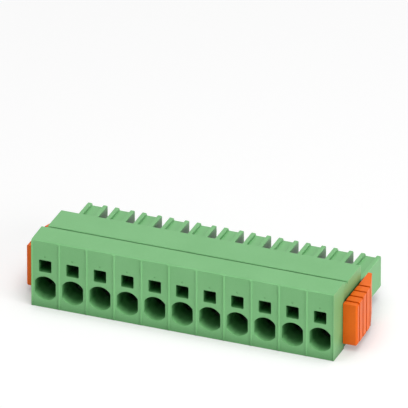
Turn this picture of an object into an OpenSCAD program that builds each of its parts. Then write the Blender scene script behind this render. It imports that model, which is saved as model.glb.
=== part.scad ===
// Pluggable spring-clamp terminal block: one row of poles, each with a round wire entry and
// a square release opening, a comb of socket teeth behind, and a sliding latch at each end.
// X runs along the row, +Y from the wire side to the mating side, +Z up from the underside.

/* [Poles] */
// Number of poles in the row
poles = 11; // [4:1:12]
// Distance from one pole to the next
pitch = 3.5; // [3.5:0.01:3.81]

/* [Housing] */
// Length from the wire side to the tips of the teeth
plug_l = 17.1; // [16.6:0.1:18]
// Depth of the front cap
cap_l = 3.45; // [3.3:0.05:3.5]
// Height of the front cap at its seam with the body
cap_h = 9; // [8.9:0.05:9.4]
// Rise of the cap's top from front to seam
cap_rise = 0.1; // [0:0.05:0.2]
// Height of the body behind the cap
body_h = 8.3; // [8.25:0.05:8.5]
// Distance from the wire side to the body's rear face
body_l = 9.4; // [9.3:0.1:9.6]
// Step in from the cap's ends to the body's ends
end_step = 0.15; // [0.1:0.05:0.2]
// Radius of the cap's upper front edge
crown_r = 0.35; // [0.2:0.05:0.5]
// Width of the fine rib between two poles, at its foot
divider_w = 0.34; // [0.2:0.02:0.5]
// How far the ribs stand out from the faces between them
divider_d = 0.1; // [0.05:0.01:0.15]

/* [Wire side] */
// Height of the centre of the wire entries
entry_z = 2.58; // [2.5:0.02:2.7]
// Radius of the entry's mouth
mouth_r = 1.575; // [1.5:0.025:1.6]
// Width across the two flats of the mouth
mouth_flats = 2.69; // [2.6:0.01:2.8]
// Depth of the wide part of an entry
mouth_l = 2; // [1.5:0.1:2.2]
// Radius of the narrow bore behind it
entry_r = 1.25; // [1.1:0.05:1.3]
// Height of the centre of the release openings
release_z = 5.53; // [5.4:0.01:5.6]
// Side of the square release opening
release_w = 1.6; // [1.4:0.05:1.7]

/* [Mating teeth] */
// Width of a tooth
tooth_w = 2.5; // [2.4:0.05:2.7]
// Underside of the teeth
tooth_z0 = 1.5; // [1.4:0.05:1.6]
// Height of the two ribs on a tooth
tooth_z1 = 5.6; // [5.5:0.05:5.8]
// Depth of the channel between the two ribs
channel_d = 0.35; // [0.2:0.05:0.4]
// Side of the square pin opening
pin_hole_w = 1.1; // [1:0.05:1.2]

/* [Contacts and springs] */
// Thickness of the contact strip
strip_t = 0.3; // [0.25:0.01:0.32]
// Thickness of the spring leaf
leaf_t = 0.22; // [0.18:0.01:0.25]

/* [Latches] */
// How far a latch stands out from the cap's end
latch_out = 1.85; // [1.7:0.05:1.9]
// Height of the latch's underside
latch_z0 = 0.95; // [0.9:0.05:1.1]
// Height of the latch's top
latch_z1 = 6.3; // [6.2:0.05:6.4]
// Travel of a latch from locked to released
latch_travel = 1.5; // [1:0.1:1.6]

/* [Hidden] */
$fn = 48;
cut = 0.1;                             // overshoot of a cutting shape
cap_w = poles * pitch;
body_w = cap_w - 2 * end_step;

// Chamber behind each wire entry, and the passage from it into the tooth
chamber_w = pitch - 1;
chamber_z0 = 1;
chamber_z1 = 7.4;
chamber_l = 8.4;
socket_w = tooth_w - 0.6;
socket_z0 = 2.15;
socket_z1 = 4.65;
socket_l = plug_l - 1.1;
pin_z = (socket_z0 + socket_z1) / 2;
root_l = 10.9;                         // rear face of the web that joins the teeth

// Lap joint on top: the cap's lip lies on a ledge of the body, short of the body's top
ledge_l = 4.98;
ledge_z = 7.95;
lip_l = ledge_l - 0.2;
lip_h = body_h - ledge_z - 0.02;

// Snap tabs that hold the cap on the body, under every fourth chamber
tab = [1.2, 1.2, 0.42];
tab_play = 0.05;
tab_z = 0.28;

// Rail on each end of the body, and the slot in the latch that runs on it
rail_y0 = 3.7;
rail_y1 = 7.1;
rail_neck_h = 2.2;
rail_head_h = 3.2;
rail_head_t = 0.35;
rail_play = 0.08;
latch_zc = (latch_z0 + latch_z1) / 2;
latch_x0 = cap_w / 2 + 0.04;           // inner face
latch_x1 = cap_w / 2 + latch_out;      // outer face at the front
rail_x1 = latch_x0 + 0.83;             // outer face of the rail's head
latch_y0 = 3;
latch_y1 = 11.4;
rib_pitch = 1.4;
rib_count = 4;
groove_w = 0.3;
groove_y0 = latch_y0 + 0.7;            // start of the first groove
wedge_y0 = groove_y0 + (rib_count - 1) * rib_pitch + groove_w;
groove_d = 0.32;
rib_taper = 0.3;                       // how much lower the last rib is than the first
tip_t = 0.5;                           // thickness of the latch at its tip

function numbered(word, i) = str(word, i < 10 ? "_0" : "_", i);
function contact_name(i) = numbered("contact", i);
function spring_name(i) = numbered("clamp_spring", i);
function pole_x(i) = (i - (poles + 1) / 2) * pitch;

// Points on an arc about [x, y] from angle a0 to a1
function arc(x, y, r, a0, a1, steps = 6) =
    [for (k = [0:steps]) let (a = a0 + (a1 - a0) * k / steps) [x + r * cos(a), y + r * sin(a)]];

// Rectangle with round corners, centred
function soft_rect(w, h, r) = concat(
    arc(w / 2 - r, h / 2 - r, r, 0, 90, 4), arc(r - w / 2, h / 2 - r, r, 90, 180, 4),
    arc(r - w / 2, r - h / 2, r, 180, 270, 4), arc(w / 2 - r, r - h / 2, r, 270, 360, 4));

// Moves the part from its wire-side datum to the middle of its footprint
module placed() translate([0, -plug_l / 2, 0]) children();

// Extrudes a [Y, Z] outline along X, centred
module along_x(w) translate([-w / 2, 0, 0]) rotate([90, 0, 90]) linear_extrude(w) children();

// Extrudes an [X, Z] outline from y0 to y1
module along_y(y0, y1) translate([0, y1, 0]) rotate([90, 0, 0]) linear_extrude(y1 - y0) children();

// Block from y0 to y1 and z0 to z1, centred on X
module block(w, y0, y1, z0, z1) translate([-w / 2, y0, z0]) cube([w, y1 - y0, z1 - z0]);

module at_poles() for (i = [1:poles]) translate([pole_x(i), 0, 0]) children();

// ---- Front cap: one moulding with the funnels and the release openings ----

// Mouth with two flats and a little draught, then a cone down to the bore
module wire_entry() {
    cone_l = 0.5;
    throat_r = mouth_r - 0.12;
    translate([0, 0, entry_z]) intersection() {
        rotate([-90, 0, 0]) rotate_extrude() polygon([[0, -cut], [mouth_r, -cut],
            [mouth_r, divider_d], [throat_r, mouth_l], [entry_r, mouth_l + cone_l],
            [entry_r, cap_l + cut], [0, cap_l + cut]]);
        block(mouth_flats, -2 * cut, cap_l + 2 * cut, -2, 2);
    }
}

module release_opening() {
    translate([0, 0, release_z]) along_y(-cut, cap_l + cut)
        polygon(soft_rect(release_w, release_w, 0.15));
    // Small pole mark above the opening
    translate([0, divider_d + 0.05, 6.82]) rotate([90, 0, 0])
        cylinder(h = divider_d + cut, r = 0.12, $fn = 8);
}

// Shallow field in front of one pole, with sloping sides that leave a rib on either hand
module pole_field() translate([0, 0, -cut]) linear_extrude(cap_h + 1) polygon([
    [(divider_w - pitch) / 2, divider_d], [(pitch - divider_w) / 2, divider_d],
    [pitch / 2 - 0.05, 0], [pitch / 2 - 0.05, -cut],
    [0.05 - pitch / 2, -cut], [0.05 - pitch / 2, 0]]);

module snap_tabs(play) for (i = [2:4:poles]) translate([pole_x(i), 0, 0])
    block(tab[0] + 2 * play, cap_l - cut, cap_l + tab[1] + 2 * play,
        tab_z - play, tab_z + tab[2] + play);

module wire_entry_cap() placed() color("#78b97a") {
    foot_r = 0.15;
    outline = concat([[cap_l, 0], [cap_l, cap_h - 0.08], [cap_l - 0.08, cap_h]],
        arc(crown_r, cap_h - cap_rise - crown_r, crown_r, 90, 180),
        arc(foot_r, foot_r, foot_r, 180, 270, 4));
    difference() {
        along_x(cap_w) polygon(outline);
        at_poles() {
            wire_entry();
            release_opening();
            pole_field();
        }
    }
    snap_tabs(0);
    // Lip of the lap joint, its upper rear edge broken
    along_x(body_w) polygon([[cap_l - cut, ledge_z], [lip_l, ledge_z],
        [lip_l, ledge_z + lip_h - 0.05], [lip_l - 0.05, ledge_z + lip_h],
        [cap_l - cut, ledge_z + lip_h]]);
}

// ---- Housing: body with the chambers, comb of teeth and the two latch rails ----

module tooth() {
    rib_w = 0.52;
    slope = 0.04;
    floor_z = tooth_z1 - channel_d;
    floor_w = tooth_w / 2 - rib_w - slope;
    along_y(body_l - cut, plug_l) polygon([
        [-tooth_w / 2, tooth_z0], [tooth_w / 2, tooth_z0],
        [tooth_w / 2, tooth_z1], [floor_w + slope, tooth_z1], [floor_w, floor_z],
        [-floor_w, floor_z], [-floor_w - slope, tooth_z1], [-tooth_w / 2, tooth_z1]]);
}

// Square opening for the header's pin, with a lead-in on all four sides
module pin_opening() {
    lead = 0.4;
    flare = [[-pin_hole_w / 2, plug_l - lead], [-pin_hole_w / 2 - lead - cut, plug_l + cut],
        [pin_hole_w / 2 + lead + cut, plug_l + cut], [pin_hole_w / 2, plug_l - lead]];
    block(pin_hole_w, socket_l - cut, plug_l + cut, pin_z - pin_hole_w / 2, pin_z + pin_hole_w / 2);
    intersection() {
        translate([0, 0, pin_z - 2]) linear_extrude(4) polygon(flare);
        translate([0, 0, pin_z]) along_x(4) polygon([for (p = flare) [p[1], p[0]]]);
    }
}

module rail() {
    x0 = body_w / 2 - 0.2;
    neck = rail_neck_h / 2;
    head = rail_head_h / 2;
    x1 = rail_x1 - rail_head_t;
    translate([0, 0, latch_zc]) along_y(rail_y0, rail_y1) polygon([[x0, -neck], [x1, -neck],
        [x1, -head], [rail_x1, -head], [rail_x1, head], [x1, head], [x1, neck], [x0, neck]]);
}

module housing() placed() color("#7bbf7d") {
    heel_r = 0.25;
    step_r = 0.15;
    body = concat([[cap_l, 0]], arc(body_l - heel_r, heel_r, heel_r, 270, 360, 4),
        arc(body_l - heel_r, body_h - heel_r, heel_r, 0, 90, 4),
        arc(ledge_l + step_r, body_h - step_r, step_r, 90, 180, 4),
        [[ledge_l, ledge_z], [cap_l, ledge_z]]);
    tip_break = 0.2;
    difference() {
        union() {
            along_x(body_w) polygon(body);
            block(cap_w - pitch + tooth_w, body_l - cut, root_l, tooth_z0, tooth_z1 - channel_d);
            at_poles() tooth();
            rail();
            mirror([1, 0, 0]) rail();
        }
        at_poles() {
            block(chamber_w, cap_l - cut, chamber_l, chamber_z0, chamber_z1);
            block(socket_w, chamber_l - cut, socket_l, socket_z0, socket_z1);
            pin_opening();
        }
        for (z = [tooth_z0, tooth_z1]) translate([0, plug_l, z]) rotate([45, 0, 0])
            cube([cap_w, tip_break, tip_break], center = true);
        snap_tabs(tab_play);
    }
}

// ---- Contact: stamped copper strip, clamping bar in front, pin socket behind ----

module contact(i) placed() translate([pole_x(i), 0, 0]) color("#c9c6bd") {
    socket_y1 = 12.3;
    grip_y = 15;
    wall_x = socket_w / 2 - 0.12;
    bend_y = chamber_l - 0.1;
    bar_y0 = cap_l + 0.1;
    tongue_t = 0.2;
    grip_x = 0.36;                     // half the gap that the pin spreads
    tongue_h = 1.4;
    base_z = socket_z0 + strip_t;
    // Bar along the chamber's floor, raised at the back into the passage
    along_x(wall_x * 2) polygon([[bar_y0, chamber_z0], [bend_y, chamber_z0],
        [bend_y, socket_z0], [socket_y1, socket_z0], [socket_y1, base_z],
        [bend_y - strip_t, base_z], [bend_y - strip_t, chamber_z0 + strip_t],
        [bar_y0, chamber_z0 + strip_t]]);
    // Side walls of the socket, each with a tongue that grips the pin
    for (side = [0, 1]) mirror([side, 0, 0]) {
        translate([wall_x - strip_t, bend_y + 1, socket_z0])
            cube([strip_t, socket_y1 - bend_y - 1, 2.25]);
        translate([0, 0, pin_z - tongue_h / 2]) linear_extrude(tongue_h) polygon([
            [wall_x, socket_y1 - cut], [wall_x - 0.02, socket_y1 + 0.4], [grip_x + tongue_t, grip_y],
            [wall_x, socket_l - 0.2], [wall_x - tongue_t, socket_l - 0.2], [grip_x, grip_y],
            [wall_x - strip_t, socket_y1 + 0.3], [wall_x - strip_t, socket_y1 - cut]]);
    }
}

// ---- Clamp spring: folded steel leaf, its tip on the contact's bar ----

module clamp_spring(i) placed() translate([pole_x(i), 0, 0]) color("#b9bdc2") {
    bend_r = 0.95;
    centre = [cap_l + bend_r + 0.05, chamber_z1 - bend_r];
    tip = [7.3, chamber_z0 + strip_t + 0.12];
    mid_r = bend_r - leaf_t / 2;
    reach = tip - centre;
    leg_l = sqrt(norm(reach) ^ 2 - mid_r ^ 2);
    leg_a = atan2(reach[1], reach[0]) + atan2(mid_r, leg_l);
    leg = leg_l * [cos(leg_a), sin(leg_a)];
    outer = arc(centre[0], centre[1], bend_r, 90, leg_a + 270, 12);
    inner = arc(centre[0], centre[1], bend_r - leaf_t, leg_a + 270, 90, 12);
    along_x(1.9) polygon(concat([[chamber_l, chamber_z1]], outer, [outer[12] + leg],
        [inner[0] + leg], inner, [[chamber_l, chamber_z1 - leaf_t]]));
}

// ---- Latch: ribbed slider on the body's rail, with a wedge tip and a catch inside it ----

module latch_form() {
    r = 0.28;
    back = latch_x1 - rib_taper;
    intersection() {
        translate([0, 0, latch_z0 - cut]) linear_extrude(latch_z1 - latch_z0 + 2 * cut) polygon(
            concat([[latch_x0, latch_y0]], arc(latch_x1 - r, latch_y0 + r, r, -90, 0),
            [[back, wedge_y0], [latch_x0 + tip_t, latch_y1 - 0.12],
             [latch_x0 + tip_t - 0.12, latch_y1], [latch_x0, latch_y1]]));
        along_y(latch_y0 - cut, latch_y1 + cut) polygon(concat(
            [[latch_x0, latch_z0]], arc(latch_x1 - r, latch_z0 + r, r, -90, 0),
            arc(latch_x1 - r, latch_z1 - r, r, 0, 90), [[latch_x0, latch_z1]]));
    }
}

// Grooves between the ribs, cut to one depth round the outer side, top and underside
module rib_grooves() difference() {
    for (k = [0:rib_count - 1]) translate([latch_x0 - cut, groove_y0 + k * rib_pitch, 0])
        cube([latch_out + 1, groove_w, latch_z1 + 1]);
    translate([0, 0, latch_z0 + groove_d]) linear_extrude(latch_z1 - latch_z0 - 2 * groove_d)
        polygon([[latch_x0 - 2 * cut, latch_y0], [latch_x1 - groove_d, latch_y0],
            [latch_x1 - rib_taper - groove_d, wedge_y0 + cut],
            [latch_x0 - 2 * cut, wedge_y0 + cut]]);
}

module rail_slot() {
    neck = rail_neck_h / 2 + rail_play;
    head = rail_head_h / 2 + rail_play;
    x0 = rail_x1 - rail_head_t - rail_play;
    x1 = rail_x1 + rail_play;
    translate([0, 0, latch_zc]) along_y(rail_y0 - 0.05, rail_y1 + latch_travel + 0.05)
        polygon([[latch_x0 - cut, -neck], [x0, -neck], [x0, -head], [x1, -head],
            [x1, head], [x0, head], [x0, neck], [latch_x0 - cut, neck]]);
}

module latch() {
    catch_r = 0.2;
    difference() {
        latch_form();
        rib_grooves();
        rail_slot();
    }
    translate([latch_x0 + 0.08, latch_y1 - 0.5, latch_z0 + 0.6])
        cylinder(h = latch_z1 - latch_z0 - 1.2, r = catch_r);
}

module latch_right() placed() color("#f08030") latch();
module latch_left() placed() color("#f08030") mirror([1, 0, 0]) latch();

housing();
wire_entry_cap();
latch_left();
latch_right();
for (i = [1:poles]) {
    contact(i);
    clamp_spring(i);
}
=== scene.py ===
import math

import bmesh
import bpy
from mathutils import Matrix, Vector


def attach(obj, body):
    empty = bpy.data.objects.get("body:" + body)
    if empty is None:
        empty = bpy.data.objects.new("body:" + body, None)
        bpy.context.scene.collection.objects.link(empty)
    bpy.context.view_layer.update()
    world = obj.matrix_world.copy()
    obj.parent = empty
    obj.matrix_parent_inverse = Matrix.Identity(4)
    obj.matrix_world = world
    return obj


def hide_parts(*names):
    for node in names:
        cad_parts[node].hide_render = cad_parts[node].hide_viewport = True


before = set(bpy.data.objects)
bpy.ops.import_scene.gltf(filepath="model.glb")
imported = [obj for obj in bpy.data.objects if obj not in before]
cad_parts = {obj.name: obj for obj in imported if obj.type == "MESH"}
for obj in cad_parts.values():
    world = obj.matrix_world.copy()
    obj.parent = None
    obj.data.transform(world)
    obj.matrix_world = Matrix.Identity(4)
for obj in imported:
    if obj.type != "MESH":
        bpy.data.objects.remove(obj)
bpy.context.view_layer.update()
mm = 0.001
scene = bpy.context.scene
scene.view_settings.view_transform = "Standard"


# ---- Studio: white table and sweep, large soft lamps -------------------------------------
# A matt white sheet lies under the plug and runs off to a white surround, as on a product
# shot. The sheet keeps the plug's soft shadow. The surround looks white to camera and gloss,
# but lights the plug more from overhead than from the sides, so that the wire entries go dark, and
# painted shade in the plastic darkens them further.

def hex_colour(code):
    """An sRGB hex colour as the linear RGBA that a socket takes."""
    parts = [int(code[i:i + 2], 16) / 255 for i in (1, 3, 5)]
    linear = [p / 12.92 if p <= 0.04045 else ((p + 0.055) / 1.055) ** 2.4 for p in parts]
    return (*linear, 1.0)


def add_node(tree, kind, settings=None, links=None):
    """Adds one node: settings go on its inputs or properties, links maps an input to its source."""
    node = tree.nodes.new("ShaderNode" + kind)
    for name, value in (settings or {}).items():
        if isinstance(name, int) or name in node.inputs:
            node.inputs[name].default_value = value
        else:
            setattr(node, name, value)
    for name, source in (links or {}).items():
        tree.links.new(source, node.inputs[name])
    return node


def new_material(name):
    """An empty node material and its output node."""
    material = bpy.data.materials.new(name)
    material.use_nodes = True
    material.node_tree.nodes.clear()
    return material, material.node_tree, add_node(material.node_tree, "OutputMaterial")


def white_where_seen(tree):
    """1 for rays from the camera, off gloss and through clear parts, 0 for those that light the plug."""
    path = add_node(tree, "LightPath")
    seen = add_node(tree, "Math", {"operation": "MAXIMUM"},
                    {0: path.outputs["Is Camera Ray"], 1: path.outputs["Is Glossy Ray"]})
    return add_node(tree, "Math", {"operation": "MAXIMUM"},
                    {0: seen.outputs[0], 1: path.outputs["Is Transmission Ray"]}).outputs[0]


surround = bpy.data.worlds.new("white_surround")
scene.world = surround
surround.use_nodes = True
sky = surround.node_tree
sky.nodes.clear()
sky_direction = add_node(sky, "SeparateXYZ", {}, {0: add_node(sky, "TexCoord").outputs["Generated"]})
horizon, zenith, zenith_light = 0.1, 1.0, 0.4
sky_level = add_node(sky, "MapRange", {"From Min": horizon, "From Max": zenith, "To Min": 0.0,
                                       "To Max": zenith_light},
                     {"Value": sky_direction.outputs["Z"]})
strength = add_node(sky, "Mix", {"data_type": "FLOAT"},
                    {"Factor": white_where_seen(sky), 2: sky_level.outputs["Result"]})
strength.inputs[3].default_value = 1.0
background = add_node(sky, "Background", {"Color": (1, 1, 1, 1)},
                      {"Strength": strength.outputs[0]})
add_node(sky, "OutputWorld", links={"Surface": background.outputs[0]})

# The sheet's own share of white makes up for what the lamps leave it short of, only where it
# is seen. It dims near the plug, which paints a contact shadow on the sheet.
sheet_half_width = 1.5
sheet_glow, painted_shadow_glow, glow_part = 1.3, 0.75, 0.35
painted_shadow_reach = 5 * mm
sheet_mesh = bmesh.new()
bmesh.ops.create_grid(sheet_mesh, x_segments=2, y_segments=2, size=sheet_half_width)
sheet_data = bpy.data.meshes.new("table_sheet")
sheet_mesh.to_mesh(sheet_data)
sheet_mesh.free()
table_sheet = bpy.data.objects.new("table_sheet", sheet_data)
scene.collection.objects.link(table_sheet)
paper, paper_tree, paper_out = new_material("matt_white_paper")
paper_diffuse = add_node(paper_tree, "BsdfDiffuse", {"Color": hex_colour("#FBFBFB")})
# Painted shadow: an occlusion test lowers the sheet's glow close to the plug.
painted_contact_shadow = add_node(paper_tree, "AmbientOcclusion", {"Distance": painted_shadow_reach, "samples": 8})
glow_level = add_node(paper_tree, "MapRange", {"From Min": 0.5, "From Max": 0.85,
                                               "To Min": painted_shadow_glow, "To Max": sheet_glow},
                      {"Value": painted_contact_shadow.outputs["AO"]})
paper_glow = add_node(paper_tree, "Emission", {"Color": (1, 1, 1, 1)},
                      {"Strength": glow_level.outputs["Result"]})
glow_share = add_node(paper_tree, "Math", {"operation": "MULTIPLY", 1: glow_part},
                      {0: white_where_seen(paper_tree)})
paper_mix = add_node(paper_tree, "MixShader", links={
    0: glow_share.outputs[0], 1: paper_diffuse.outputs[0], 2: paper_glow.outputs[0]})
paper_tree.links.new(paper_mix.outputs[0], paper_out.inputs["Surface"])
sheet_data.materials.append(paper)


lamp_distance = 0.6


def softbox(name, direction, size, level):
    """A square lamp that faces the plug; level 1 lights a facing surface to its own colour."""
    lamp = bpy.data.lights.new(name, "AREA")
    lamp.size = size
    lamp.energy = level * math.pi ** 2 * lamp_distance ** 2
    holder = bpy.data.objects.new(name, lamp)
    place = Vector(direction).normalized() * lamp_distance
    holder.location = place
    holder.rotation_euler = place.to_track_quat("Z", "Y").to_euler()
    scene.collection.objects.link(holder)


softbox("overhead_softbox", (0.1, -0.1, 1.0), 0.5, 0.4)
softbox("side_softbox", (1.0, -0.3, 0.35), 0.3, 0.36)
softbox("front_softbox", (0.3, -0.55, 0.9), 0.3, 0.27)

# A long lens from almost two metres keeps the plug's edges nearly parallel.
view_azimuth = math.radians(21.43)
view_elevation = math.radians(27.95)
lens, sensor = 1400.0, 36.0
frame_width = 48.57 * mm
shift_right, shift_up = -0.50 * mm, 11.62 * mm
camera_distance = frame_width * lens / sensor
right = Vector((math.cos(view_azimuth), math.sin(view_azimuth), 0))
back = Vector((math.sin(view_azimuth) * math.cos(view_elevation),
               -math.cos(view_azimuth) * math.cos(view_elevation), math.sin(view_elevation)))
up = back.cross(right)
camera_data = bpy.data.cameras.new("camera")
camera_data.lens = lens
camera_data.sensor_width = sensor
camera_data.clip_end = 10
camera = bpy.data.objects.new("camera", camera_data)
camera.location = shift_right * right + shift_up * up + back * camera_distance
camera.rotation_euler = back.to_track_quat("Z", "Y").to_euler()
scene.collection.objects.link(camera)
scene.camera = camera


# ---- Housing and front cap ----------------------------------------------------------------
# Two mouldings in light green glass-filled polyamide, snapped together at the seam. The
# mould's spark-eroded faces leave a fine satin grain, and every outer edge is a little round.

# The grain is drawn coarser than a real eroded face, which would be too fine to show.
flow_size, speck_size, grain_size = 6 * mm, 0.25 * mm, 0.09 * mm
# How far the painted shade in hollows looks for nearby cover.
painted_shade_reach = 3 * mm


def moulded_plastic(name, colour, light_colour, painted_shade_colour, ior=1.5, roughness=0.42):
    """Satin moulded plastic: faint flow clouds, a fine eroded grain, and painted shade in hollows."""
    material, tree, out = new_material(name)
    place = add_node(tree, "TexCoord").outputs["Object"]
    flow = add_node(tree, "TexNoise", {"Scale": 1 / flow_size, "Detail": 3.0, "Roughness": 0.5},
                    {"Vector": place})
    speck = add_node(tree, "TexNoise", {"Scale": 1 / speck_size, "Detail": 2.0},
                     {"Vector": place})
    blend = add_node(tree, "Math", {"operation": "MULTIPLY_ADD", 1: 0.3},
                     {0: speck.outputs["Fac"], 2: flow.outputs["Fac"]})
    tone = add_node(tree, "MapRange", {"From Min": 0.45, "From Max": 0.85},
                    {"Value": blend.outputs[0]})
    paint = add_node(tree, "Mix", {"data_type": "RGBA"}, {"Factor": tone.outputs["Result"]})
    paint.inputs[6].default_value = hex_colour(colour)
    paint.inputs[7].default_value = hex_colour(light_colour)
    # Painted shade: an occlusion test blends the colour towards the painted shade colour in entries,
    # gaps and creases.
    hollow = add_node(tree, "AmbientOcclusion", {"Distance": painted_shade_reach, "samples": 8}).outputs["AO"]
    open_air = add_node(tree, "MapRange", {"From Min": 0.25, "From Max": 0.75}, {"Value": hollow})
    shade = add_node(tree, "Mix", {"data_type": "RGBA"},
                     {"Factor": open_air.outputs["Result"], 7: paint.outputs[2]})
    shade.inputs[6].default_value = hex_colour(painted_shade_colour)
    rough = add_node(tree, "MapRange", {"To Min": roughness - 0.05, "To Max": roughness + 0.06},
                     {"Value": flow.outputs["Fac"]})
    grains = add_node(tree, "TexNoise", {"Scale": 1 / grain_size, "Detail": 3.0},
                      {"Vector": place})
    bump = add_node(tree, "Bump", {"Strength": 0.16, "Distance": 0.012 * mm},
                    {"Height": grains.outputs["Fac"]})
    shader = add_node(tree, "BsdfPrincipled", {"IOR": ior},
                      {"Base Color": shade.outputs[2], "Roughness": rough.outputs["Result"],
                       "Normal": bump.outputs["Normal"]})
    tree.links.new(shader.outputs[0], out.inputs["Surface"])
    return material


def edged_copy(node, name, radius, material, body):
    """A copy of a CAD piece with clean flat faces and a small round along its sharp edges."""
    shape = bmesh.new()
    shape.from_mesh(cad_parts[node].data)
    bmesh.ops.remove_doubles(shape, verts=shape.verts, dist=1e-7)
    bmesh.ops.dissolve_limit(shape, angle_limit=math.radians(0.5), verts=shape.verts,
                             edges=shape.edges, use_dissolve_boundaries=False)
    data = bpy.data.meshes.new(name)
    shape.to_mesh(data)
    shape.free()
    data.materials.clear()
    data.materials.append(material)
    piece = bpy.data.objects.new(name, data)
    scene.collection.objects.link(piece)
    edge = piece.modifiers.new("edge", "BEVEL")
    edge.width = radius
    edge.segments = 2
    edge.limit_method = "ANGLE"
    edge.angle_limit = math.radians(60)
    edge.use_clamp_overlap = True
    edge.harden_normals = False
    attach(piece, body)
    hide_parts(node)
    return piece


housing_edge, cap_edge = 0.06 * mm, 0.07 * mm
# The third colour is the painted shade for hollows.
green = moulded_plastic("moulded_green_polyamide", "#78BC79", "#80C281", "#22622A")
edged_copy("housing", "housing_moulding", housing_edge, green, "plug_body")
edged_copy("wire_entry_cap", "cap_moulding", cap_edge, green, "plug_body")


# ---- Latches ---------------------------------------------------------------------------------
# A ribbed slider at each end, moulded in orange polyamide and snapped on to the housing's
# rail. The ribs give the fingers a hold when the latch is drawn back to free the plug.

latch_edge = 0.07 * mm
# The third colour is the painted shade for hollows.
orange = moulded_plastic("moulded_orange_polyamide", "#F2690E", "#FF7419", "#D9570C", ior=1.3)
for side in ("left", "right"):
    edged_copy(f"latch_{side}", f"latch_{side}_moulding", latch_edge, orange,
               f"{side}_latch")


# ---- Contacts and clamp springs ----------------------------------------------------------------
# Stamped copper strips, tin plated to a soft grey, and folded stainless leaves. Both are
# rolled stock, so their faces carry fine lines along the strip.

line_size, cloud_size = 0.08 * mm, 1.2 * mm


def rolled_metal(name, colour, worn_colour, roughness):
    """Rolled strip: fine lines along Y in gloss and relief, with a faint cloud in the colour."""
    material, tree, out = new_material(name)
    place = add_node(tree, "TexCoord").outputs["Object"]
    stretch = add_node(tree, "Mapping", {"Scale": (1.0, 0.04, 1.0)}, {"Vector": place})
    lines = add_node(tree, "TexNoise", {"Scale": 1 / line_size, "Detail": 3.0},
                     {"Vector": stretch.outputs[0]})
    cloud = add_node(tree, "TexNoise", {"Scale": 1 / cloud_size, "Detail": 3.0},
                     {"Vector": place})
    paint = add_node(tree, "Mix", {"data_type": "RGBA"}, {"Factor": cloud.outputs["Fac"]})
    paint.inputs[6].default_value = hex_colour(colour)
    paint.inputs[7].default_value = hex_colour(worn_colour)
    rough = add_node(tree, "MapRange", {"To Min": roughness - 0.08, "To Max": roughness + 0.1},
                     {"Value": lines.outputs["Fac"]})
    bump = add_node(tree, "Bump", {"Strength": 0.2, "Distance": 0.006 * mm},
                    {"Height": lines.outputs["Fac"]})
    shader = add_node(tree, "BsdfPrincipled", {"Metallic": 1.0},
                      {"Base Color": paint.outputs[2], "Roughness": rough.outputs["Result"],
                       "Normal": bump.outputs["Normal"]})
    tree.links.new(shader.outputs[0], out.inputs["Surface"])
    return material


tin = rolled_metal("tin_plated_copper", "#C4C3BD", "#AEADA6", 0.36)
leaf_steel = rolled_metal("stainless_spring_strip", "#B8BABD", "#A3A6AA", 0.28)
for node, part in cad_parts.items():
    if node.startswith(("contact_", "clamp_spring_")):
        part.data.materials.clear()
        part.data.materials.append(tin if node.startswith("contact_") else leaf_steel)
